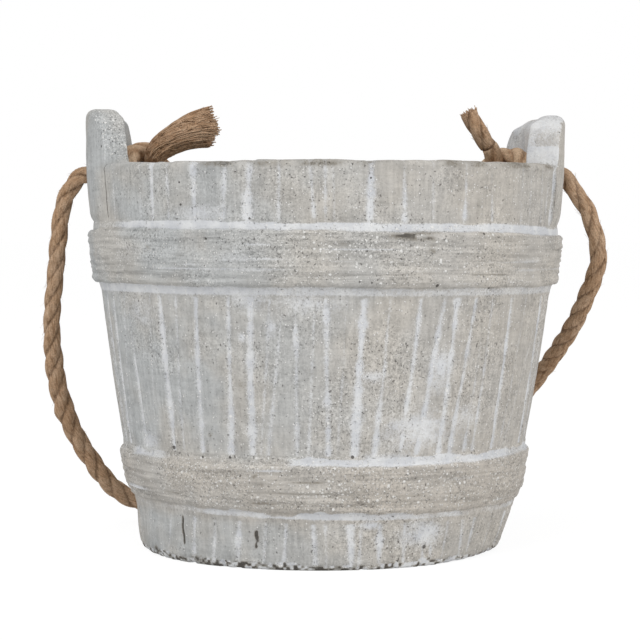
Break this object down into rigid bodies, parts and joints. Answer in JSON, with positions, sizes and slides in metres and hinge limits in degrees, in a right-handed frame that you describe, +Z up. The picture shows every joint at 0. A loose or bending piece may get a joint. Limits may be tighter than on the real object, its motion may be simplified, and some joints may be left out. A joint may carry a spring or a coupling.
{
  "type": "flower pot",
  "caption": "Tapered cast cement flower pot shaped like a coopered pail, with staves, flat hoops, rounded ears above the rim and a knotted rope handle that swings over.",
  "frame": {"origin": "middle of the foot's underside, on the ground", "axes": "+Z up; the ears stand on +X and -X; the handle hangs behind the pot at rest, on +Y; the pictured front faces -Y"},
  "size_m": [0.2674, 0.2292, 0.2046],
  "materials": {
    "whitewashed_cement": "matte",
    "jute_rope": "matte"
  },
  "bodies": {
    "pot": {"pot_casting": "whitewashed_cement", "left_knot": "jute_rope", "left_frayed_end": "jute_rope", "right_knot": "jute_rope", "right_cut_end": "jute_rope"},
    "rope_handle": {"handle_rope": "jute_rope"}
  },
  "joints": [
    {"name": "handle_swing", "type": "hinge", "parent": "pot", "child": "rope_handle", "pos_m": [0, 0, 0.173], "axis": [1, 0, 0], "range_deg": [0, 290]}
  ]
}
